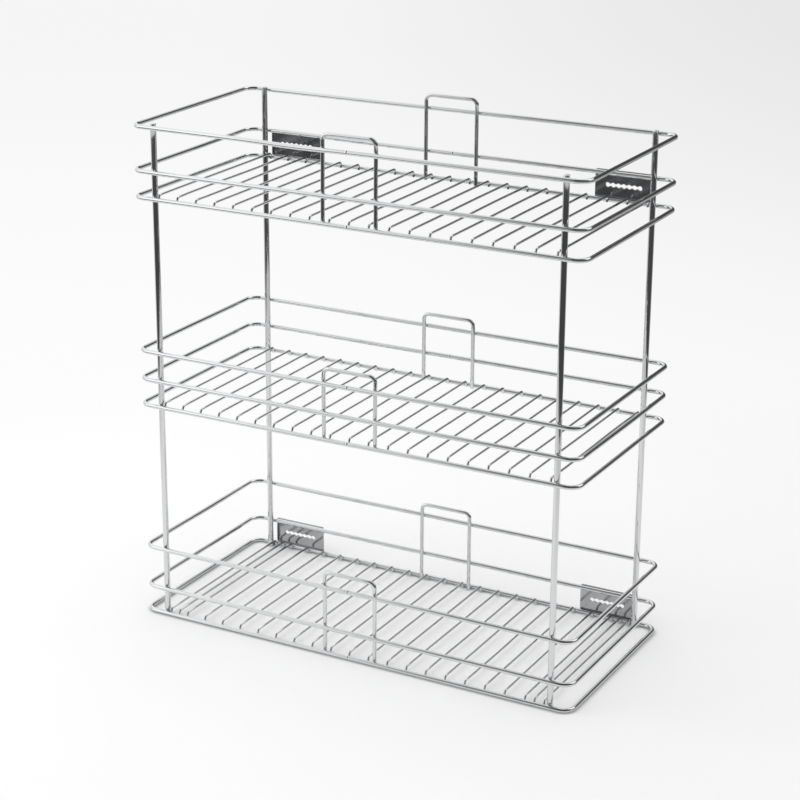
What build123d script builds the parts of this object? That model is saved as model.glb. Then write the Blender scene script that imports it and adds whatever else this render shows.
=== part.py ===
from build123d import *
from math import cos, pi, sin
import os

os.makedirs("parts", exist_ok=True)

# Three-tier wire basket of a bottle pull-out, in millimetres.
# X runs along the long side, Y towards the side that carries the mounting plates, Z up.
# The origin is on the floor, in the middle of the basket.

# Outside sizes of every rectangular rail ring, measured over the wire.
basket_length = 485.0
basket_width = 220.0
corner_radius = 12.0

# Bent wires repeat so often that each is drawn with flat sides and bends of a few straight runs.
# The flats lie at the wire's true radius, so that wires and plates seat face to face.
rail_sides = 12
rail_bend_runs = 3
arch_sides = 8
arch_bend_runs = 2
floor_sides = 8
floor_bend_runs = 1

# Wire diameters.
rail_wire = 4.5
post_wire = 6.0
arch_wire = 4.0
floor_wire = 2.5

# Each tier: height of its base ring, then of its middle and upper rings above that one.
# The ring heights are those of the wire's centre above the centre of the lowest ring.
tiers = {
    "bottom": (0.0, 27.0, 71.0),
    "middle": (226.5, 27.0, 57.0),
    "top": (441.0, 27.0, 71.0),
}
ring_names = ("base_ring", "middle_ring", "upper_ring")

# Posts stand inside the long rails, near the corners, and end just above the highest ring.
post_x = 218.0
post_above_ring = 4.0
post_top_bevel = 0.8

# Arches stand inside the middle of each long side.
arch_span = 56.5
arch_above_ring = 14.0
arch_bend = 6.0

# Floor wires cross from rail to rail, hooked down over the base ring's inner side.
floor_above_ring = 4.4
floor_hook_depth = 1.5
floor_bend = 3.0
last_wire_x = 212.5
gaps_between_wires = 20
close_wire_spacing = 10.0
close_wires = 2
gaps_between_bottom_wires = 18

# Mounting plates, spot-welded outside the back rails of the bottom and top tiers.
plate_length = 60.0
plate_height = 30.0
plate_thickness = 1.5
plate_corner_cut = 1.2
plate_x = 184.5
plate_middle_above_ring = 14.4
slot_holes = 7
slot_hole_diameter = 4.5
slot_hole_pitch = 5.6
slot_neck_width = 2.4

# Lines that follow from the sizes above.
rail_radius = rail_wire / 2
ring_length = basket_length - rail_wire
ring_width = basket_width - rail_wire
rail_y = ring_width / 2
lowest_ring_z = rail_radius
post_y = rail_y - rail_radius - post_wire / 2
arch_y = rail_y - rail_radius - arch_wire / 2
hook_y = rail_y - rail_radius - floor_wire / 2


def rounded_corner(before, corner, after, radius, runs):
    """Points along the arc that rounds one right-angled corner of a path."""
    back = (before - corner).normalized()
    ahead = (after - corner).normalized()
    centre = corner + (back + ahead) * radius
    angles = [pi / 2 * step / runs for step in range(runs + 1)]
    return [centre - (ahead * cos(t) + back * sin(t)) * radius for t in angles]


def bent_wire(corners, diameter, sides, radius, runs):
    """A wire from the first corner to the last, bent at those between; equal ends close it."""
    corners = [Vector(*corner) for corner in corners]
    points = [corners[0]]
    for before, corner, after in zip(corners, corners[1:], corners[2:]):
        points += rounded_corner(before, corner, after, radius, runs)
    path = Polyline(*points, corners[-1])
    section = RegularPolygon(diameter / 2, sides, major_radius=False, rotation=180 / sides)
    start = Plane(origin=path @ 0, z_dir=path % 0)
    return sweep(start * section, path=path, transition=Transition.RIGHT)


def rail_ring(height):
    """A closed rectangular ring, begun and ended in the middle of its front side."""
    x, y = ring_length / 2, ring_width / 2
    corners = [(0, -y), (x, -y), (x, y), (-x, y), (-x, -y), (0, -y)]
    ring = bent_wire(corners, rail_wire, rail_sides, corner_radius, rail_bend_runs)
    return Pos(0, 0, height) * ring


def post(x, y, top):
    """An upright from the floor, with its upper edge bevelled."""
    upright = Cylinder(post_wire / 2, top, align=(Align.CENTER, Align.CENTER, Align.MIN))
    rim = upright.edges().sort_by(Axis.Z)[-1]
    return Pos(x, y, 0) * chamfer(rim, post_top_bevel)


def arch(y, foot, top):
    """An inverted U of wire with two rounded shoulders."""
    half = arch_span / 2
    corners = [(-half, y, foot), (-half, y, top), (half, y, top), (half, y, foot)]
    return bent_wire(corners, arch_wire, arch_sides, arch_bend, arch_bend_runs)


def hooked_wire(x, ring_height):
    """One floor wire, bent down at both ends against the inner side of the base ring."""
    low = ring_height - floor_hook_depth
    high = ring_height + floor_above_ring
    corners = [(x, -hook_y, low), (x, -hook_y, high), (x, hook_y, high), (x, hook_y, low)]
    return bent_wire(corners, floor_wire, floor_sides, floor_bend, floor_bend_runs)


def even_places(last, gaps):
    """Places from -last to last with the given number of equal gaps."""
    return [last * (2 * step / gaps - 1) for step in range(gaps + 1)]


def floor_places(tier):
    """Where the floor wires of a tier lie; the bottom one has closer wires at both ends."""
    if tier != "bottom":
        return even_places(last_wire_x, gaps_between_wires)
    last_even = last_wire_x - close_wires * close_wire_spacing
    extra = [last_even + close_wire_spacing * (step + 1) for step in range(close_wires)]
    even = even_places(last_even, gaps_between_bottom_wires)
    return [-x for x in reversed(extra)] + even + extra


def mounting_plate(x, middle):
    """A sheet plate on the back rails with a slot of seven holes that run into one another."""
    outline = Rectangle(plate_length, plate_height)
    outline = chamfer(outline.vertices(), plate_corner_cut)
    neck = Rectangle(slot_hole_pitch * (slot_holes - 1), slot_neck_width)
    holes = GridLocations(slot_hole_pitch, 0, slot_holes, 1) * Circle(slot_hole_diameter / 2)
    face = outline - neck - holes
    inner_side = Plane(origin=(x, rail_y + rail_radius, middle), x_dir=(1, 0, 0), z_dir=(0, 1, 0))
    return extrude(inner_side * face, plate_thickness)


def write(name, shape):
    shape.label = name
    export_step(shape, f"parts/{name}.step")


highest_ring_z = lowest_ring_z + tiers["top"][0] + tiers["top"][2]
for side_x, side_name in ((-1, "left"), (1, "right")):
    for side_y, face_name in ((-1, "front"), (1, "back")):
        upright = post(side_x * post_x, side_y * post_y, highest_ring_z + post_above_ring)
        write(f"{face_name}_{side_name}_post", upright)

for tier, (base, to_middle, to_upper) in tiers.items():
    base_z = lowest_ring_z + base
    for name, above in zip(ring_names, (0.0, to_middle, to_upper)):
        write(f"{tier}_{name}", rail_ring(base_z + above))
    for side_y, face_name in ((-1, "front"), (1, "back")):
        foot = base_z - rail_radius
        top = base_z + to_upper + arch_above_ring
        write(f"{tier}_{face_name}_arch", arch(side_y * arch_y, foot, top))
    wires = [hooked_wire(x, base_z) for x in floor_places(tier)]
    write(f"{tier}_floor_wires", Compound(children=wires))
    if tier != "middle":
        for side_x, side_name in ((-1, "left"), (1, "right")):
            plate = mounting_plate(side_x * plate_x, base_z + plate_middle_above_ring)
            write(f"{tier}_{side_name}_plate", plate)
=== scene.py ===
# Looks of a tiered bottle basket of welded wire, chrome plated. Metres; X along the basket, Z up.
import math

import bpy
import numpy as np
from mathutils import Matrix, Vector


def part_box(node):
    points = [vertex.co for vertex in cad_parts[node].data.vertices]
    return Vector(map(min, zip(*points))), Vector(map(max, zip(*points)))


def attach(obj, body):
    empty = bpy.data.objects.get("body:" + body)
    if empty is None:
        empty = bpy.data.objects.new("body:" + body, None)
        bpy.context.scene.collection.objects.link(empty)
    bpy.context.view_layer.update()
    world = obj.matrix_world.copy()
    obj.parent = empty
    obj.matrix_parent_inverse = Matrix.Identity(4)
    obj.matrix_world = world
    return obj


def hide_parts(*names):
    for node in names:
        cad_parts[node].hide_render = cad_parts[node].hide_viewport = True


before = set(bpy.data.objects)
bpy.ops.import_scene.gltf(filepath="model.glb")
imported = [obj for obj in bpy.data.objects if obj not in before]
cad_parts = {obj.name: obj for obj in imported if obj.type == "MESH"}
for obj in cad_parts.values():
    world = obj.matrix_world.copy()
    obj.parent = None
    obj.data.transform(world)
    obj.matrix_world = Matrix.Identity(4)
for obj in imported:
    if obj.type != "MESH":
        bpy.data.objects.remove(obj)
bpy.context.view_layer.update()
print("frame loaded:", len(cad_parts), "nodes")

mm = 0.001
axisX, axisY, axisZ = np.eye(3)
tierNames = ("bottom", "middle", "top")
platedTiers = ("bottom", "top")
ringNames = ("base_ring", "middle_ring", "upper_ring")
sideNames = ("front", "back")
endNames = ("left", "right")
randomSeed = 17
rng = np.random.default_rng(randomSeed)


def nodeBox(name):
    # lowest and highest corners of a CAD node
    low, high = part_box(name)
    return np.array(low), np.array(high)


def addObject(name, data):
    # an object at the origin, in the scene
    obj = bpy.data.objects.new(name, data)
    bpy.context.scene.collection.objects.link(obj)
    return obj


# Surfaces


def unit(vectors):
    # a vector or rows of them, divided by their lengths
    return vectors / np.linalg.norm(vectors, axis=-1, keepdims=True)


def lengthAlong(path):
    # running length from the first point of a path to each of its points
    return np.concatenate([[0], np.cumsum(np.linalg.norm(np.diff(path, axis=0), axis=1))])


def arcPoints(before, corner, after, radius, runs):
    # rounds a right-angled corner: centre minus radius times (ahead * cos + back * sin)
    back = unit(before - corner)
    ahead = unit(after - corner)
    centre = corner + (back + ahead) * radius
    angle = np.linspace(0, math.pi / 2, runs + 1)[:, None]
    return centre - radius * (ahead * np.cos(angle) + back * np.sin(angle))


def wirePath(corners, spacing, radius=0, runs=1):
    # straight runs cut into even steps of about the spacing, joined by arcs at the corners
    corners = np.asarray(corners, float)
    stops = [corners[:1]]
    for before, corner, after in zip(corners, corners[1:], corners[2:]):
        stops.append(arcPoints(before, corner, after, radius, runs))
    stops.append(corners[-1:])
    points = [stops[0]]
    for last, following in zip(stops, stops[1:]):
        start, end = last[-1], following[0]
        count = max(1, int(round(np.linalg.norm(end - start) / spacing)))
        share = np.linspace(0, 1, count + 1)[1:-1, None]
        points += [start + (end - start) * share, following]
    return np.concatenate(points)


waverValues = {"waves": 4, "calmShare": 0.1}


def waver(path, up, amount, wave, closed):
    # drawn wire is never quite straight: a sum of size * sin(2 * pi * turns * s / total + phase), where s is
    # the length along the wire, pushes each point sideways and up; the ends of an open wire stay calm
    v = waverValues
    s = lengthAlong(path)
    total = s[-1]
    side = unit(np.cross(np.gradient(path, axis=0), up))
    shift = np.zeros((2, len(path)))
    for order in range(1, v["waves"] + 1):
        turns = max(1, round(total / wave * order / 2))
        phase = rng.uniform(0, 2 * math.pi, 2)
        size = rng.normal(0, amount / order, 2)
        shift += size[:, None] * np.sin(2 * math.pi * turns * s / total + phase[:, None])
    if not closed:
        shift *= np.minimum(1, np.minimum(s, total - s) / (v["calmShare"] * total))
    return path + side * shift[0][:, None] + up * shift[1][:, None]


def carryRound(path, up, radii, around, closed):
    # a round section carried along a flat path:
    # point + radius * (cos(angle) * side + sin(angle) * up), with side square to the path in its plane
    if closed:
        tangent = np.roll(path, -1, axis=0) - np.roll(path, 1, axis=0)
    else:
        tangent = np.gradient(path, axis=0)
    side = unit(np.cross(tangent, up))
    angle = np.arange(around) * 2 * math.pi / around
    ring = side[:, None, :] * np.cos(angle)[None, :, None] + up * np.sin(angle)[None, :, None]
    return path[:, None, :] + ring * radii[:, None, None]


def cutEnds(path, radius, bevel):
    # a path's points and radii for a wire of one radius, whose first and last steps narrow by the bevel
    first = path[:1] + unit(path[1] - path[0]) * bevel
    last = path[-1:] + unit(path[-2] - path[-1]) * bevel
    radii = np.full(len(path) + 2, radius)
    radii[[0, -1]] -= bevel
    return np.concatenate([path[:1], first, path[1:-1], last, path[-1:]]), radii


def roundEnd(path, radii, radius, depth, hold, angles):
    # a ground wire end in place of the last cut: radius * cos(angle) at depth * sin(angle) past its last
    # full section, with one more section the hold below, over which the shading settles
    ahead = unit(path[-1] - path[-2])
    turn = np.radians(angles)
    foot = path[-1] - ahead * depth
    keep = (path - foot) @ ahead < -hold - depth
    crown = foot + ahead * depth * np.sin(turn)[:, None]
    path = np.concatenate([path[keep], [foot - ahead * hold], crown])
    return path, np.concatenate([radii[keep], [radius], radius * np.cos(turn)])


def gridFaces(rows, columns, closedRows):
    # quads of a grid that always closes round its columns, and along its rows if asked
    i = np.arange(rows if closedRows else rows - 1)[:, None]
    j = np.arange(columns)[None, :]
    nextI, nextJ = (i + 1) % rows, (j + 1) % columns
    a, b = i * columns + j, nextI * columns + j
    c, d = nextI * columns + nextJ, i * columns + nextJ
    return np.stack([a, b, c, d], axis=-1).reshape(-1, 4)


def gridUv(lengths, alongTotal, aroundTotal, columns, closedRows):
    # real lengths in metres for each quad's corners, without a jump where the grid closes
    count = len(lengths) if closedRows else len(lengths) - 1
    u = np.concatenate([lengths, [alongTotal]])[:count + 1]
    v = np.linspace(0, aroundTotal, columns + 1)
    u0, u1 = u[:-1, None], u[1:, None]
    v0, v1 = v[None, :-1], v[None, 1:]
    flat = np.zeros((count, columns))
    corners = [(u0 + flat, v0 + flat), (u1 + flat, v0 + flat),
               (u1 + flat, v1 + flat), (u0 + flat, v1 + flat)]
    return np.stack([np.stack(c, axis=-1) for c in corners], axis=2).reshape(-1, 2)


def outwardGrid(surface, closedRows):
    # turns a grid over if its quads enclose less than nothing, measured from its middle
    points = surface.reshape(-1, 3) - surface.reshape(-1, 3).mean(axis=0)
    a, b, c, d = (points[k] for k in gridFaces(*surface.shape[:2], closedRows).T)
    volume = np.sum(np.cross(a, b) * c + np.cross(a, c) * d)
    return surface if volume > 0 else surface[:, ::-1]


class Shape:
    # collects grids into one mesh
    def __init__(self):
        self.points, self.faces, self.uv, self.count = [], [], [], 0

    def grid(self, surface, lengths, aroundTotal, closedRows):
        # open rows get a flat face at each end
        rows, columns = surface.shape[:2]
        surface = outwardGrid(surface, closedRows)
        closing = np.linalg.norm(surface[0, 0] - surface[-1, 0]) if closedRows else 0
        self.points.append(surface.reshape(-1, 3))
        self.faces += (gridFaces(rows, columns, closedRows) + self.count).tolist()
        self.uv.append(gridUv(lengths, lengths[-1] + closing, aroundTotal, columns, closedRows))
        if not closedRows:
            first = np.arange(columns) + self.count
            last = first + (rows - 1) * columns
            self.faces += [first.tolist(), last[::-1].tolist()]
            self.uv.append(np.zeros((2 * columns, 2)))
        self.count += rows * columns

    def wire(self, path, up, radii, radius, around, closed=False):
        # a round wire, whose radius away from welds and ends gives the length round it
        surface = carryRound(path, up, radii, around, closed)
        self.grid(surface, lengthAlong(path), 2 * math.pi * radius, closed)

    def bentWire(self, corners, up, radius, v):
        # an open wire through rounded corners, with cut ends
        path = wirePath(corners, v["spacing"], v["bendRadius"], v["bendRuns"])
        path = waver(path, up, v["waver"], v["wave"], False)
        path, radii = cutEnds(path, radius, v["endBevel"])
        self.wire(path, up, radii, radius, v["around"])

    def piece(self, name, material, sharpAngle=35):
        mesh = bpy.data.meshes.new(name)
        mesh.from_pydata(np.concatenate(self.points).tolist(), [], self.faces)
        layer = mesh.uv_layers.new(name="wireLength")
        layer.data.foreach_set("uv", np.concatenate(self.uv).astype(np.float32).ravel())
        mesh.update()
        mesh.shade_smooth()
        mesh.set_sharp_from_angle(angle=math.radians(sharpAngle))
        mesh.materials.append(material)
        return addObject(name, mesh)


def finishPiece(obj, slot, *nodes):
    # all is welded into one body; a piece replaces the nodes that it stands for
    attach(obj, "root")
    if nodes:
        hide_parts(*nodes)
    return obj


# Materials


def srgb(hexColour):
    # a written colour as linear red, green and blue with an alpha of one
    parts = [int(hexColour[k:k + 2], 16) / 255 for k in (1, 3, 5)]
    return [p / 12.92 if p <= 0.04045 else ((p + 0.055) / 1.055) ** 2.4 for p in parts] + [1]


def addNode(tree, kind, *inputs, **settings):
    # adds a node: the inputs go to its sockets in order, the settings to its properties or named sockets,
    # and a socket takes a value, another socket's link or the link of a node's first output
    node = tree.nodes.new("ShaderNode" + kind)
    wanted = list(enumerate(inputs))
    for key, value in settings.items():
        if hasattr(node, key):
            setattr(node, key, value)
        else:
            wanted.append((key.replace("_", " "), value))
    for key, value in wanted:
        source = value.outputs[0] if isinstance(value, bpy.types.Node) else value
        if isinstance(source, bpy.types.NodeSocket):
            tree.links.new(source, node.inputs[key])
        else:
            node.inputs[key].default_value = source
    return node


def newMaterial(name):
    # a material and its emptied node tree
    material = bpy.data.materials.new(name)
    material.use_nodes = True
    material.node_tree.nodes.clear()
    return material, material.node_tree


def chromePlating(name, v):
    # what both finishes share: bright metal whose roughness drifts with a trace of handling haze
    material, tree = newMaterial(name)
    place = addNode(tree, "TexCoord").outputs["Object"]
    haze = addNode(tree, "TexNoise", place, Scale=1 / v["hazeSize"], Detail=v["hazeDetail"])
    rough = addNode(tree, "MapRange", haze, *v["hazeRange"], v["roughLow"], v["roughHigh"])
    shader = addNode(tree, "BsdfPrincipled", Base_Color=srgb(v["colour"]), Metallic=1.0, Roughness=rough)
    addNode(tree, "OutputMaterial", Surface=shader)
    return material, tree, place, shader


# lineStretch: the draw lines are 50 times longer along the wire than across it
wireFinish = {"colour": "#D8D9DA", "roughLow": 0.035, "roughHigh": 0.11,
              "hazeSize": 60 * mm, "hazeDetail": 3.0, "hazeRange": (0.35, 0.75),
              "rippleSize": 7 * mm, "rippleDetail": 1.0, "rippleDepth": 0.012 * mm,
              "lineSize": 0.5 * mm, "lineDetail": 2.0, "lineDepth": 0.0015 * mm, "lineStretch": 0.02}


def chromePlatedWire():
    # bright nickel-chrome plating over drawn steel wire: a mirror with faint lengthwise draw lines,
    # and soft ripples a few millimetres long where the plating pooled
    v = wireFinish
    material, tree, place, shader = chromePlating("chromePlatedWire", v)
    ripple = addNode(tree, "TexNoise", place, Scale=1 / v["rippleSize"], Detail=v["rippleDetail"])
    rippled = addNode(tree, "Bump", Strength=1.0, Distance=v["rippleDepth"], Height=ripple)
    uv = addNode(tree, "UVMap", uv_map="wireLength")
    stretched = addNode(tree, "Mapping", uv, Scale=(v["lineStretch"], 1, 1))
    lines = addNode(tree, "TexNoise", stretched, Scale=1 / v["lineSize"], Detail=v["lineDetail"])
    lined = addNode(tree, "Bump", Strength=1.0, Distance=v["lineDepth"], Height=lines, Normal=rippled)
    tree.links.new(lined.outputs["Normal"], shader.inputs["Normal"])
    return material


sheetFinish = {"colour": "#B2B3B5", "roughLow": 0.11, "roughHigh": 0.18,
               "hazeSize": 25 * mm, "hazeDetail": 4.0, "hazeRange": (0.35, 0.75),
               "rollSize": 12 * mm, "rollDetail": 1.0, "rollDepth": 0.02 * mm}


def chromePlatedSheet():
    # the same plating over rolled and pressed sheet: duller and flatter, with a slight roll ripple
    v = sheetFinish
    material, tree, place, shader = chromePlating("chromePlatedSheet", v)
    roll = addNode(tree, "TexNoise", place, Scale=1 / v["rollSize"], Detail=v["rollDetail"])
    rolled = addNode(tree, "Bump", Strength=1.0, Distance=v["rollDepth"], Height=roll)
    tree.links.new(rolled.outputs["Normal"], shader.inputs["Normal"])
    return material


wireChrome = chromePlatedWire()
sheetChrome = chromePlatedSheet()
print("materials made")

# Rings

# seamSides: the side of each ring's weld, -1 at the front and 1 at the back
# seamGap and railBand: how near the weld the even steps of that rail give way to fine ones
# dents: the x, y, reach and rise, in millimetres, of places where a rail is pushed up or down
ringValues = {"cornerRadius": 12 * mm, "cornerRuns": 14, "spacing": 12 * mm, "around": 20,
              "waver": 0.12 * mm, "wave": 0.33, "seamSides": (-1, 1, -1), "seamReach": 4 * mm,
              "seamSteps": 17, "seamGap": 6 * mm, "railBand": 1 * mm,
              "weldLength": 1.3 * mm, "weldRise": 0.15 * mm, "weldReach": 0.65 * mm,
              "nickDepth": 0.04 * mm, "nickReach": 0.455 * mm,
              "dents": {"top_upper_ring": (-55, -108, 45, -1.0), "top_middle_ring": (-190, 108, 60, 1.1)}}


def weldSeam(s, total, where, v):
    # butt weld: a low collar between two shallow nicks, as a change of radius at the distance d from it,
    # weldRise * exp(-(d / weldReach) ** 2) - nickDepth * exp(-((d - weldLength) / nickReach) ** 2)
    d = np.abs(s - where)
    d = np.minimum(d, total - d)
    collar = v["weldRise"] * np.exp(-(d / v["weldReach"]) ** 2)
    nick = v["nickDepth"] * np.exp(-((d - v["weldLength"]) / v["nickReach"]) ** 2)
    return collar - nick


def railRing(name, seamSide):
    # a closed loop with four rounded corners, begun with fine steps over the weld in the middle of one side
    v = ringValues
    low, high = nodeBox(name)
    radius = (high[2] - low[2]) / 2
    x, y, z = high[0] - radius, high[1] - radius, (low[2] + high[2]) / 2
    firstX, seamY = -seamSide * x, seamSide * y
    corners = [(0, seamY, z), (firstX, seamY, z), (firstX, -seamY, z),
               (-firstX, -seamY, z), (-firstX, seamY, z), (0, seamY, z)]
    path = wirePath(corners, v["spacing"], v["cornerRadius"], v["cornerRuns"])
    fine = np.linspace(-1, 1, v["seamSteps"]) * v["seamReach"]
    seam = np.stack([-seamSide * fine, np.full_like(fine, seamY), np.full_like(fine, z)], axis=1)
    keep = np.abs(path[:, 0]) > v["seamGap"]
    keep |= np.abs(path[:, 1] - seamY) > v["railBand"]
    path = waver(np.concatenate([seam, path[keep]]), axisZ, v["waver"], v["wave"], True)
    # no ring dips into the floor
    path[:, 2] = np.maximum(path[:, 2], radius)
    if name in v["dents"]:
        # rise * exp(-(distance / reach) ** 2)
        atX, atY, reach, rise = np.array(v["dents"][name]) * mm
        path[:, 2] += rise * np.exp(-((path[:, 0] - atX) ** 2 + (path[:, 1] - atY) ** 2) / reach ** 2)
    along = lengthAlong(path)
    radii = radius + weldSeam(along, along[-1], v["seamReach"], v)
    shape = Shape()
    shape.wire(path, axisZ, radii, radius, v["around"], closed=True)
    return finishPiece(shape.piece(name.replace("_", "") + "Wire", wireChrome), "chromed_wire", name)


for tier in tierNames:
    for ringName, seamSide in zip(ringNames, ringValues["seamSides"]):
        railRing(f"{tier}_{ringName}", seamSide)
print("rings made")

# Posts

# phaseSpan: about a full turn
# hold: the length below the ground top over which its shading settles
postValues = {"around": 28, "spacing": 12 * mm, "waver": 0.06 * mm, "wave": 0.4, "phaseSpan": 6.28,
              "endBevel": 0.7 * mm, "crown": 1.1 * mm, "crownAngles": (0, 5, 20, 38, 58, 80),
              "hold": {"front": 14 * mm, "back": 0.4 * mm}}


def uprightPost(name, hold):
    # a straight wire with one faint bow, cut at its foot and ground round at its top:
    # waver * sin(2 * pi * s / wave + phase) * sin(pi * s / total) sideways
    v = postValues
    low, high = nodeBox(name)
    x, y = ((low + high) / 2)[:2]
    radius = (high[0] - low[0]) / 2
    path = wirePath([(x, y, low[2]), (x, y, high[2])], v["spacing"])
    s = lengthAlong(path)
    bow = np.sin(2 * math.pi * s / v["wave"] + rng.uniform(0, v["phaseSpan"]))
    path[:, 0] += v["waver"] * bow * np.sin(math.pi * s / s[-1])
    path, radii = cutEnds(path, radius, v["endBevel"])
    path, radii = roundEnd(path, radii, radius, v["crown"], hold, v["crownAngles"])
    shape = Shape()
    shape.wire(path, axisY, radii, radius, v["around"])
    return finishPiece(shape.piece(name.replace("_", "") + "Wire", wireChrome), "chromed_wire", name)


for side in sideNames:
    for end in endNames:
        uprightPost(f"{side}_{end}_post", postValues["hold"][side])
print("posts made")

# Arches

archValues = {"bendRadius": 6 * mm, "bendRuns": 12, "spacing": 9 * mm, "around": 18, "endBevel": 0.5 * mm,
              "waver": 0.1 * mm, "wave": 0.2}


def wireArch(name):
    # an inverted U in an upright plane
    low, high = nodeBox(name)
    radius = (high[1] - low[1]) / 2
    half = high[0] - radius
    y, foot, top = (low[1] + high[1]) / 2, low[2], high[2] - radius
    corners = [(-half, y, foot), (-half, y, top), (half, y, top), (half, y, foot)]
    shape = Shape()
    shape.bentWire(corners, axisY, radius, archValues)
    return finishPiece(shape.piece(name.replace("_", "") + "Wire", wireChrome), "chromed_wire", name)


for tier in tierNames:
    for side in sideNames:
        wireArch(f"{tier}_{side}_arch")
print("arches made")

# Floor wires

floorValues = {"diameter": 2.5 * mm, "bendRadius": 3 * mm, "bendRuns": 6, "spacing": 14 * mm, "around": 12,
               "endBevel": 0.3 * mm, "waver": 0.16 * mm, "wave": 0.3, "closeSpacing": 10 * mm,
               "evenGaps": {"bottom": 18, "middle": 20, "top": 20},
               "closeWires": {"bottom": 2, "middle": 0, "top": 0}}


def floorPlaces(tier):
    # even steps across the floor's box, with closer wires at both ends of the lowest floor
    v = floorValues
    last = nodeBox(f"{tier}_floor_wires")[1][0] - v["diameter"] / 2
    lastEven = last - v["closeWires"][tier] * v["closeSpacing"]
    even = np.linspace(-lastEven, lastEven, v["evenGaps"][tier] + 1)
    extra = lastEven + v["closeSpacing"] * (1 + np.arange(v["closeWires"][tier]))
    return np.concatenate([-extra[::-1], even, extra])


def floorWires(tier):
    # straight across, and hooked down at both ends
    v = floorValues
    name = f"{tier}_floor_wires"
    low, high = nodeBox(name)
    radius = v["diameter"] / 2
    hook, base, crown = high[1] - radius, low[2], high[2] - radius
    shape = Shape()
    for x in floorPlaces(tier):
        corners = [(x, -hook, base), (x, -hook, crown), (x, hook, crown), (x, hook, base)]
        shape.bentWire(corners, axisX, radius, v)
    return finishPiece(shape.piece(tier + "FloorWires", wireChrome), "chromed_wire", name)


for tier in tierNames:
    floorWires(tier)
print("floors made")

# Plates

# spread: how much farther from the middle the edge's points lie than the slot's
plateValues = {"holes": 7, "pitch": 5.6 * mm, "holeRadius": 2.25 * mm, "neck": 2.4 * mm, "holeRuns": 12,
               "endRuns": 24, "spread": 1.2, "cornerRadius": 2 * mm, "cornerRuns": 6, "edge": 0.25 * mm,
               "edgeRuns": 3, "flatHold": 0.3 * mm, "sharpAngle": 50}


def plateQuarter(halfX, halfZ, v):
    # upper right quarter of the slot, met point by point by the plate's own edge:
    # straight up from the holes, then fanned round the corner from the last hole's end
    r, last = v["holeRadius"], (v["holes"] - 1) / 2 * v["pitch"]
    cut = math.asin(v["neck"] / 2 / r)
    inner = []
    for step in range((v["holes"] + 1) // 2):
        centre = step * v["pitch"]
        first = math.pi / 2 if step == 0 else math.pi - cut
        final = math.pi / 2 if centre == last else cut
        angle = np.linspace(first, final, v["holeRuns"] // 2 + 1)
        inner.append(np.stack([centre + r * np.cos(angle), r * np.sin(angle)], 1))
    inner = np.concatenate(inner)
    outer = np.stack([inner[:, 0] * v["spread"], np.full(len(inner), halfZ)], 1)
    bend = np.linspace(0, math.pi / 2, v["cornerRuns"] + 1)
    corner = np.stack([np.sin(bend), np.cos(bend)], 1) * v["cornerRadius"]
    corner += np.array([halfX, halfZ]) - v["cornerRadius"]
    edge = np.concatenate([outer[-1:], corner, [[halfX, 0]]])
    run = lengthAlong(edge)
    share = np.unique(np.concatenate([np.linspace(0, 1, v["endRuns"] + 1), run / run[-1]]))[1:]
    fan = np.stack([np.interp(share * run[-1], run, side) for side in edge.T], 1)
    angle = math.pi / 2 * (1 - share)
    endArc = np.stack([last + r * np.cos(angle), r * np.sin(angle)], 1)
    return np.concatenate([inner, endArc]), np.concatenate([outer, fan])


def wholeLoop(quarter):
    # mirrors a quarter outline down and across, clockwise from the top
    right = np.concatenate([quarter, (quarter * [1, -1])[-2::-1]])
    return np.concatenate([right, (right * [-1, 1])[-2:0:-1]])


def outward(loop):
    # unit normals of a clockwise outline
    ahead = np.roll(loop, -1, axis=0) - np.roll(loop, 1, axis=0)
    return unit(np.stack([-ahead[:, 1], ahead[:, 0]], 1))


def mountingPlate(name):
    # a stack of loops: each is the slot's or the plate's outline, moved along its normals and set in depth
    v = plateValues
    low, high = nodeBox(name)
    centre, half = (low + high) / 2, (high - low) / 2
    inner, outer = (wholeLoop(quarter) for quarter in plateQuarter(half[0], half[2], v))
    innerOut, outerOut = outward(inner), outward(outer)
    # each rim turns from flat to edge; one more loop just inside the flat keeps its shading level
    edge = v["edge"]
    turn = np.linspace(0, math.pi / 2, v["edgeRuns"] + 1)
    rim = [(edge + v["flatHold"], 0)]
    rim += [(edge - edge * math.sin(a), edge - edge * math.cos(a)) for a in turn]
    profile = [(inner, innerOut * inset, high[1] - fall) for inset, fall in rim[::-1]]
    profile += [(outer, -outerOut * inset, high[1] - fall) for inset, fall in rim]
    profile += [(outer, -outerOut * inset, low[1] + fall) for inset, fall in rim[::-1]]
    profile += [(inner, innerOut * inset, low[1] + fall) for inset, fall in rim]
    loops = [np.column_stack([loop[:, 0] + shift[:, 0] + centre[0], np.full(len(loop), y),
                              loop[:, 1] + shift[:, 1] + centre[2]]) for loop, shift, y in profile]
    surface = np.stack(loops, axis=1)
    shape = Shape()
    shape.grid(surface, lengthAlong(surface[:, 0]), 2 * half[2], True)
    piece = shape.piece(name.replace("_", ""), sheetChrome, v["sharpAngle"])
    return finishPiece(piece, "chromed_sheet", name)


for tier in platedTiers:
    for end in endNames:
        mountingPlate(f"{tier}_{end}_plate")
print("plates made")

# Weld beads

# post, arch, hook and plate: half lengths of a bead along x, y and z, in millimetres
weldValues = {"post": (2.3, 1.0, 2.3), "arch": (1.8, 0.85, 1.9), "hook": (1.45, 0.7, 1.35),
              "plate": (2.6, 0.55, 1.2), "spread": 0.15, "shift": 0.2 * mm, "rows": 7, "around": 10,
              "tipAngle": 72, "plateSpots": (-21 * mm, 0, 21 * mm)}


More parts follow.
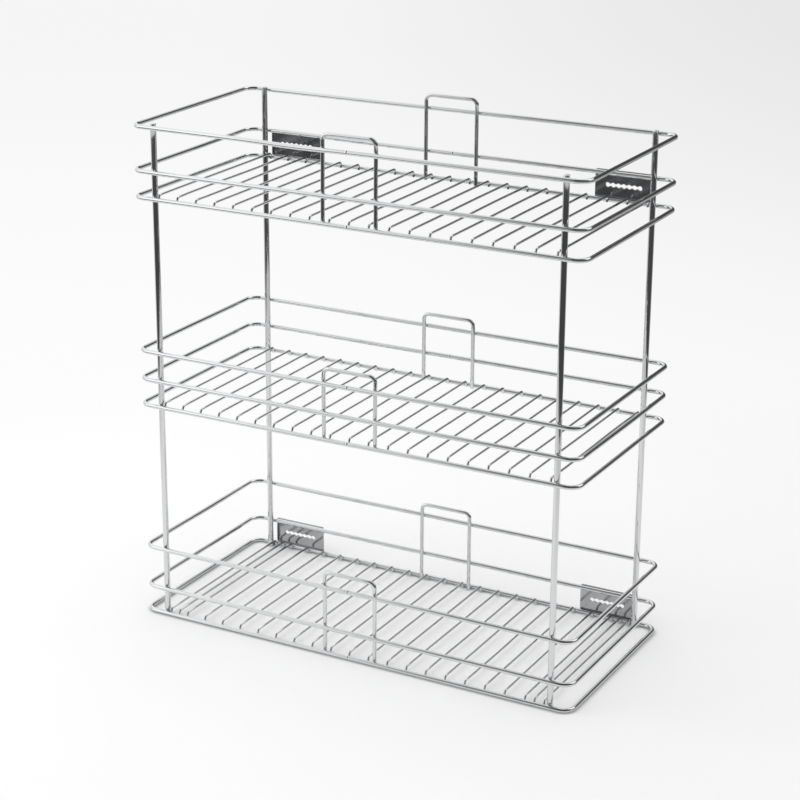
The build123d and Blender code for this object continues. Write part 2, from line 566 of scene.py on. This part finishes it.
def bead(shape, centre, kind):
    # an ellipsoid in the crevice of two welded wires:
    # middle + (a * cos(u) * cos(t), b * cos(u) * sin(t), c * sin(u))
    v = weldValues
    size = np.array(v[kind]) * mm * rng.uniform(1 - v["spread"], 1 + v["spread"])
    middle = np.array(centre) + rng.uniform(-1, 1, 3) * [v["shift"], 0, v["shift"]]
    u = np.radians(np.linspace(-v["tipAngle"], v["tipAngle"], v["rows"]))[:, None]
    t = (np.arange(v["around"]) * 2 * math.pi / v["around"])[None, :]
    ball = np.stack([np.cos(u) * np.cos(t), np.cos(u) * np.sin(t), np.sin(u) + 0 * t], axis=-1)
    surface = middle + ball * size
    shape.grid(surface, lengthAlong(surface[:, 0]), 2 * math.pi * size[0], False)


def tierWelds(tier):
    # beads where the rings meet the posts, arches, floor hooks and plates
    shape = Shape()
    ringBoxes = [nodeBox(f"{tier}_{ringName}") for ringName in ringNames]
    heights = [(low[2] + high[2]) / 2 for low, high in ringBoxes]
    baseLow, baseHigh = ringBoxes[0]
    outer = baseHigh[1]
    inner = outer - (baseHigh[2] - baseLow[2])
    postX = sum(nodeBox("back_right_post"))[0] / 2
    archLow, archHigh = nodeBox(f"{tier}_back_arch")
    legX = archHigh[0] - (archHigh[1] - archLow[1]) / 2
    for sideY in (-inner, inner):
        for z in heights:
            for end in (-1, 1):
                bead(shape, (end * postX, sideY, z), "post")
                bead(shape, (end * legX, sideY, z), "arch")
        for x in floorPlaces(tier):
            bead(shape, (x, sideY, heights[0]), "hook")
    for end in endNames if tier in platedTiers else ():
        plateX = sum(nodeBox(f"{tier}_{end}_plate"))[0] / 2
        # a plate lies on the two lower rings
        for z in heights[:2]:
            for spot in weldValues["plateSpots"]:
                bead(shape, (plateX + spot, outer, z), "plate")
    return finishPiece(shape.piece(tier + "WeldBeads", wireChrome), "chromed_wire")


for tier in tierNames:
    tierWelds(tier)
print("welds made")

# Stage

softStep = {"interpolation_type": "SMOOTHSTEP"}
# each pair is a range over which a tone changes softly
# the falls and the crevice's tone are painted shade on the paper; the tones the chrome mirrors are painted
# light and shade
stageValues = {"floorSize": 14.0, "towardBack": (-0.5, 0.866, 0), "towardRight": (0.866, 0.5, 0),
               "paperTone": 0.975, "backShadeFall": 0.06, "backRange": (0.6, 3.6),
               "rightShadeFall": 0.11, "rightRange": (-0.5, 1.3), "rightNear": 0.2, "rightDepth": (-0.2, 2.4),
               "fallRange": (4.5, 6.5), "creviceReach": 5.2 * mm, "creviceSamples": 8, "creviceShadeTone": 0.74,
               "creviceRange": (0.65, 0.97), "poolRange": (0.91, 1.03), "shadeRange": (2.4, 2.8),
               "frontRange": (0.2, -0.1), "rightWall": (0.9, 0.43, 0), "wallShade": 0.55,
               "wallRange": (0.3, 0.6), "paintedLitTone": 0.75, "shadeTone": 0.07, "farRange": (0.45, 1.0)}


def paperSweep():
    # white studio paper: near the basket it takes light and shadow, with painted contact shade along the
    # lowest wires;
    # farther off it shows its own tone with a painted fall of shade, and the chrome mirrors painted light
    # and shade
    v = stageValues
    material, tree = newMaterial("paperSweep")
    light = addNode(tree, "LightPath").outputs
    place = addNode(tree, "TexCoord").outputs["Object"]
    reach = addNode(tree, "VectorMath", place, operation="LENGTH").outputs["Value"]
    depth = addNode(tree, "VectorMath", place, v["towardBack"], operation="DOT_PRODUCT").outputs["Value"]
    width = addNode(tree, "VectorMath", place, v["towardRight"], operation="DOT_PRODUCT").outputs["Value"]
    # painted shade: the tone falls off a little towards the back and the right, where less light falls
    back = addNode(tree, "MapRange", depth, *v["backRange"], 0, v["backShadeFall"], **softStep)
    right = addNode(tree, "MapRange", width, *v["rightRange"], 0, v["rightShadeFall"], **softStep)
    growth = addNode(tree, "MapRange", depth, *v["rightDepth"], v["rightNear"], 1, **softStep)
    right = addNode(tree, "Math", right, growth, operation="MULTIPLY")
    both = addNode(tree, "Math", back, right, operation="ADD")
    limit = addNode(tree, "MapRange", reach, *v["fallRange"], 1, 0, **softStep)
    both = addNode(tree, "Math", both, limit, operation="MULTIPLY")
    tone = addNode(tree, "Math", v["paperTone"], both, operation="SUBTRACT")
    # painted shade and painted reflection: the matt paper's colour darkens where wires lie close, a grey
    # strip along the lowest wires in place of their mirror image in slightly glossy paper
    nearby = addNode(tree, "AmbientOcclusion", Distance=v["creviceReach"], samples=v["creviceSamples"])
    openness = nearby.outputs["AO"]
    band = addNode(tree, "MapRange", openness, *v["creviceRange"], v["creviceShadeTone"], 1, **softStep)
    crevice = addNode(tree, "Math", tone, band, operation="MULTIPLY")
    paper = addNode(tree, "BsdfDiffuse", crevice)
    # beyond the near paper the camera sees the tone as it is, and the chrome mirrors a painted glow:
    # painted light for a lit floor, and painted shade for an unlit floor from the pool's edge to the end
    # of the shade, in front and towards the right wall
    heading = addNode(tree, "VectorMath", place, operation="NORMALIZE")
    ahead = addNode(tree, "VectorMath", heading, v["towardBack"], operation="DOT_PRODUCT").outputs["Value"]
    aside = addNode(tree, "VectorMath", heading, v["rightWall"], operation="DOT_PRODUCT").outputs["Value"]
    outside = addNode(tree, "MapRange", reach, *v["poolRange"], 0, 1, **softStep)
    inside = addNode(tree, "MapRange", reach, *v["shadeRange"], 1, 0, **softStep)
    front = addNode(tree, "MapRange", ahead, *v["frontRange"], 0, 1, **softStep)
    wall = addNode(tree, "MapRange", aside, *v["wallRange"], 0, v["wallShade"], **softStep)
    belt = addNode(tree, "Math", outside, inside, operation="MULTIPLY")
    faces = addNode(tree, "Math", front, wall, operation="MAXIMUM")
    shade = addNode(tree, "Math", belt, faces, operation="MULTIPLY")
    mirrored = addNode(tree, "MapRange", shade, 0, 1, v["paintedLitTone"], v["shadeTone"], **softStep)
    shine = addNode(tree, "Mix", Factor=light["Is Camera Ray"], A=mirrored, B=tone, data_type="FLOAT")
    glow = addNode(tree, "Emission", Strength=shine)
    seen = addNode(tree, "Math", light["Is Camera Ray"], light["Is Glossy Ray"], operation="ADD")
    far = addNode(tree, "MapRange", reach, *v["farRange"], 0, 1, **softStep)
    share = addNode(tree, "Math", seen, far, operation="MULTIPLY")
    addNode(tree, "OutputMaterial", Surface=addNode(tree, "MixShader", share, paper, glow))
    return material


def studioFloor():
    # a flat square under the basket, wider than the view
    half = stageValues["floorSize"] / 2
    mesh = bpy.data.meshes.new("studioFloor")
    corners = [(-half, -half, 0), (half, -half, 0), (half, half, 0), (-half, half, 0)]
    mesh.from_pydata(corners, [], [(0, 1, 2, 3)])
    mesh.materials.append(paperSweep())
    obj = addObject("studioFloor", mesh)
    return obj


studioFloor()

lightValues = {
    "overhead": {"place": (-0.3, 0.1, 2.4), "aim": (0, 0, 0.2), "size": (2.6, 2.2), "power": 22},
    "leftBox": {"place": (-1.7, -1.0, 1.5), "aim": (0, 0, 0.25), "size": (1.2, 1.4), "power": 7.5},
}


def softBox(name, place, aim, size, power):
    # a rectangle of light that faces its aim
    data = bpy.data.lights.new(name, "AREA")
    data.shape = "RECTANGLE"
    data.size, data.size_y = size
    data.energy = power
    obj = addObject(name, data)
    obj.location = place
    obj.rotation_euler = (Vector(aim) - Vector(place)).to_track_quat("-Z", "Y").to_euler()
    # the chrome mirrors the studio world instead, which holds these boxes' white cloth
    obj.visible_glossy = False
    return obj


for lamp, values in lightValues.items():
    softBox(lamp, **values)

# each pair is a range of the x, y or z of the direction looked in, and for the panel of a sloped height
worldValues = {"fill": 0.67, "passedOn": 1.5,
               "plainWhite": (1, 1, 1, 1), "backdrop": (0.975, 0.975, 0.975, 1),
               "highTone": 0.36, "highRange": (0.5, 0.8), "lowRange": (0.5, 0.2),
               "frontTone": 0.62, "frontRange": (-0.3, -0.6), "rightDim": 0.2, "rightRange": (-0.3, -0.38),
               "panelSlope": (-0.31, 0, 1), "panelHeight": (0.46, 0.56), "backTone": 0.74,
               "backRange": (0.55, 0.7), "roomTone": 0.08, "ceilingTone": 1.3, "ceilingHeight": (0.4, 0.5),
               "ceilingStart": (0.05, 0.25), "ceilingEnd": (0.78, 0.72), "clothTone": 0.98,
               "clothRange": (-0.39, -0.47), "boxTone": 0.42, "boxRange": (-0.48, -0.54),
               "boxFront": (-0.1, -0.4)}


def studioWorld():
    # white for the camera and a plain fill for the paper; for the chrome a room with white cloth along its
    # left, a softbox before it, a light strip low in front, a white panel high at the back, a bright band
    # of ceiling, and dim walls elsewhere
    v = worldValues
    world = bpy.data.worlds.new("studio")
    world.use_nodes = True
    tree = world.node_tree
    tree.nodes.clear()
    light = addNode(tree, "LightPath").outputs
    place = addNode(tree, "TexCoord").outputs["Generated"]
    parts = addNode(tree, "SeparateXYZ", place)
    x, y, z = (parts.outputs[key] for key in "XYZ")
    # walls: light high up and low in front, kept at the left and dimmed elsewhere
    high = addNode(tree, "MapRange", z, *v["highRange"], 0, v["highTone"], **softStep)
    low = addNode(tree, "MapRange", z, *v["lowRange"], 0, 1, **softStep)
    front = addNode(tree, "MapRange", y, *v["frontRange"], 0, v["frontTone"], **softStep)
    strip = addNode(tree, "Math", low, front, operation="MULTIPLY")
    walls = addNode(tree, "Math", high, strip, operation="MAXIMUM")
    right = addNode(tree, "MapRange", x, *v["rightRange"], v["rightDim"], 1, **softStep)
    lit = addNode(tree, "Math", walls, right, operation="MULTIPLY")
    # panel: white above a slope at the back
    rise = addNode(tree, "VectorMath", place, v["panelSlope"], operation="DOT_PRODUCT").outputs["Value"]
    above = addNode(tree, "MapRange", rise, *v["panelHeight"], 0, 1, **softStep)
    behind = addNode(tree, "MapRange", y, *v["backRange"], 0, v["backTone"], **softStep)
    panel = addNode(tree, "Math", above, behind, operation="MULTIPLY")
    lit = addNode(tree, "Math", lit, panel, operation="MAXIMUM")
    dim = addNode(tree, "Math", lit, v["roomTone"], operation="MAXIMUM")
    # ceiling: a bright band from overhead to the back
    start = addNode(tree, "MapRange", y, *v["ceilingStart"], 0, 1, **softStep)
    stop = addNode(tree, "MapRange", y, *v["ceilingEnd"], 0, 1, **softStep)
    arc = addNode(tree, "Math", start, stop, operation="MULTIPLY")
    overhead = addNode(tree, "MapRange", z, *v["ceilingHeight"], 0, v["ceilingTone"], **softStep)
    ceiling = addNode(tree, "Math", arc, overhead, operation="MULTIPLY")
    dim = addNode(tree, "Math", dim, ceiling, operation="MAXIMUM")
    # left: the cloth, and the softbox that brightens its front part
    cloth = addNode(tree, "MapRange", x, *v["clothRange"], 0, 1, **softStep)
    wall = addNode(tree, "Mix", Factor=cloth, A=dim, B=v["clothTone"], data_type="FLOAT")
    shining = addNode(tree, "MapRange", x, *v["boxRange"], 0, v["boxTone"], **softStep)
    before = addNode(tree, "MapRange", y, *v["boxFront"], 0, 1, **softStep)
    box = addNode(tree, "Math", shining, before, operation="MULTIPLY")
    left = addNode(tree, "Math", wall, box, operation="ADD")
    total = addNode(tree, "Math", left, ceiling, operation="MAXIMUM")
    mirrored = addNode(tree, "Background", v["plainWhite"], total)
    # the chrome passes the light of the hidden boxes on to the paper as well as the fill
    ambient = addNode(tree, "MapRange", light["Is Glossy Ray"], 0, 1, v["fill"], v["passedOn"], **softStep)
    fill = addNode(tree, "Background", v["plainWhite"], ambient)
    white = addNode(tree, "Background", v["backdrop"], 1.0)
    # the mirrored room shows only in chrome that the camera sees, with no matt surface between
    direct = addNode(tree, "Math", light["Diffuse Depth"], 1, operation="LESS_THAN")
    shown = addNode(tree, "Math", light["Is Glossy Ray"], direct, operation="MULTIPLY")
    chrome = addNode(tree, "MixShader", shown, fill, mirrored)
    addNode(tree, "OutputWorld", addNode(tree, "MixShader", light["Is Camera Ray"], chrome, white))
    bpy.context.scene.world = world


studioWorld()
bpy.context.scene.view_settings.view_transform = "Standard"
print("studio made")

# Camera

# centre: the pixel on the camera's axis, in a frame of 800 by 800
cameraValues = {"place": (0.9809, -1.8315, 0.9676), "yaw": -29.831, "pitch": 19.278, "roll": 0.179,
                "focalPixels": 2203.5, "frame": 800, "centre": (340.26, 399.87), "sensor": 36,
                "clip": (0.05, 60)}


def photoCamera():
    # looks along the yaw and the pitch, then turns about that line by the roll
    v = cameraValues
    yaw, pitch, roll = (math.radians(v[k]) for k in ("yaw", "pitch", "roll"))
    forward = Vector((math.sin(yaw) * math.cos(pitch), math.cos(yaw) * math.cos(pitch), -math.sin(pitch)))
    right = Vector((math.cos(yaw), -math.sin(yaw), 0))
    down = forward.cross(right)
    tiltRight = math.cos(roll) * right + math.sin(roll) * down
    tiltDown = -math.sin(roll) * right + math.cos(roll) * down
    data = bpy.data.cameras.new("photoCamera")
    data.sensor_width = v["sensor"]
    data.lens = v["focalPixels"] / v["frame"] * data.sensor_width
    data.shift_x = (v["frame"] / 2 - v["centre"][0]) / v["frame"]
    data.shift_y = (v["centre"][1] - v["frame"] / 2) / v["frame"]
    data.clip_start, data.clip_end = v["clip"]
    camera = addObject("photoCamera", data)
    turn = Matrix((tiltRight, -tiltDown, -forward)).transposed()
    camera.matrix_world = Matrix.Translation(v["place"]) @ turn.to_4x4()
    bpy.context.scene.camera = camera


photoCamera()
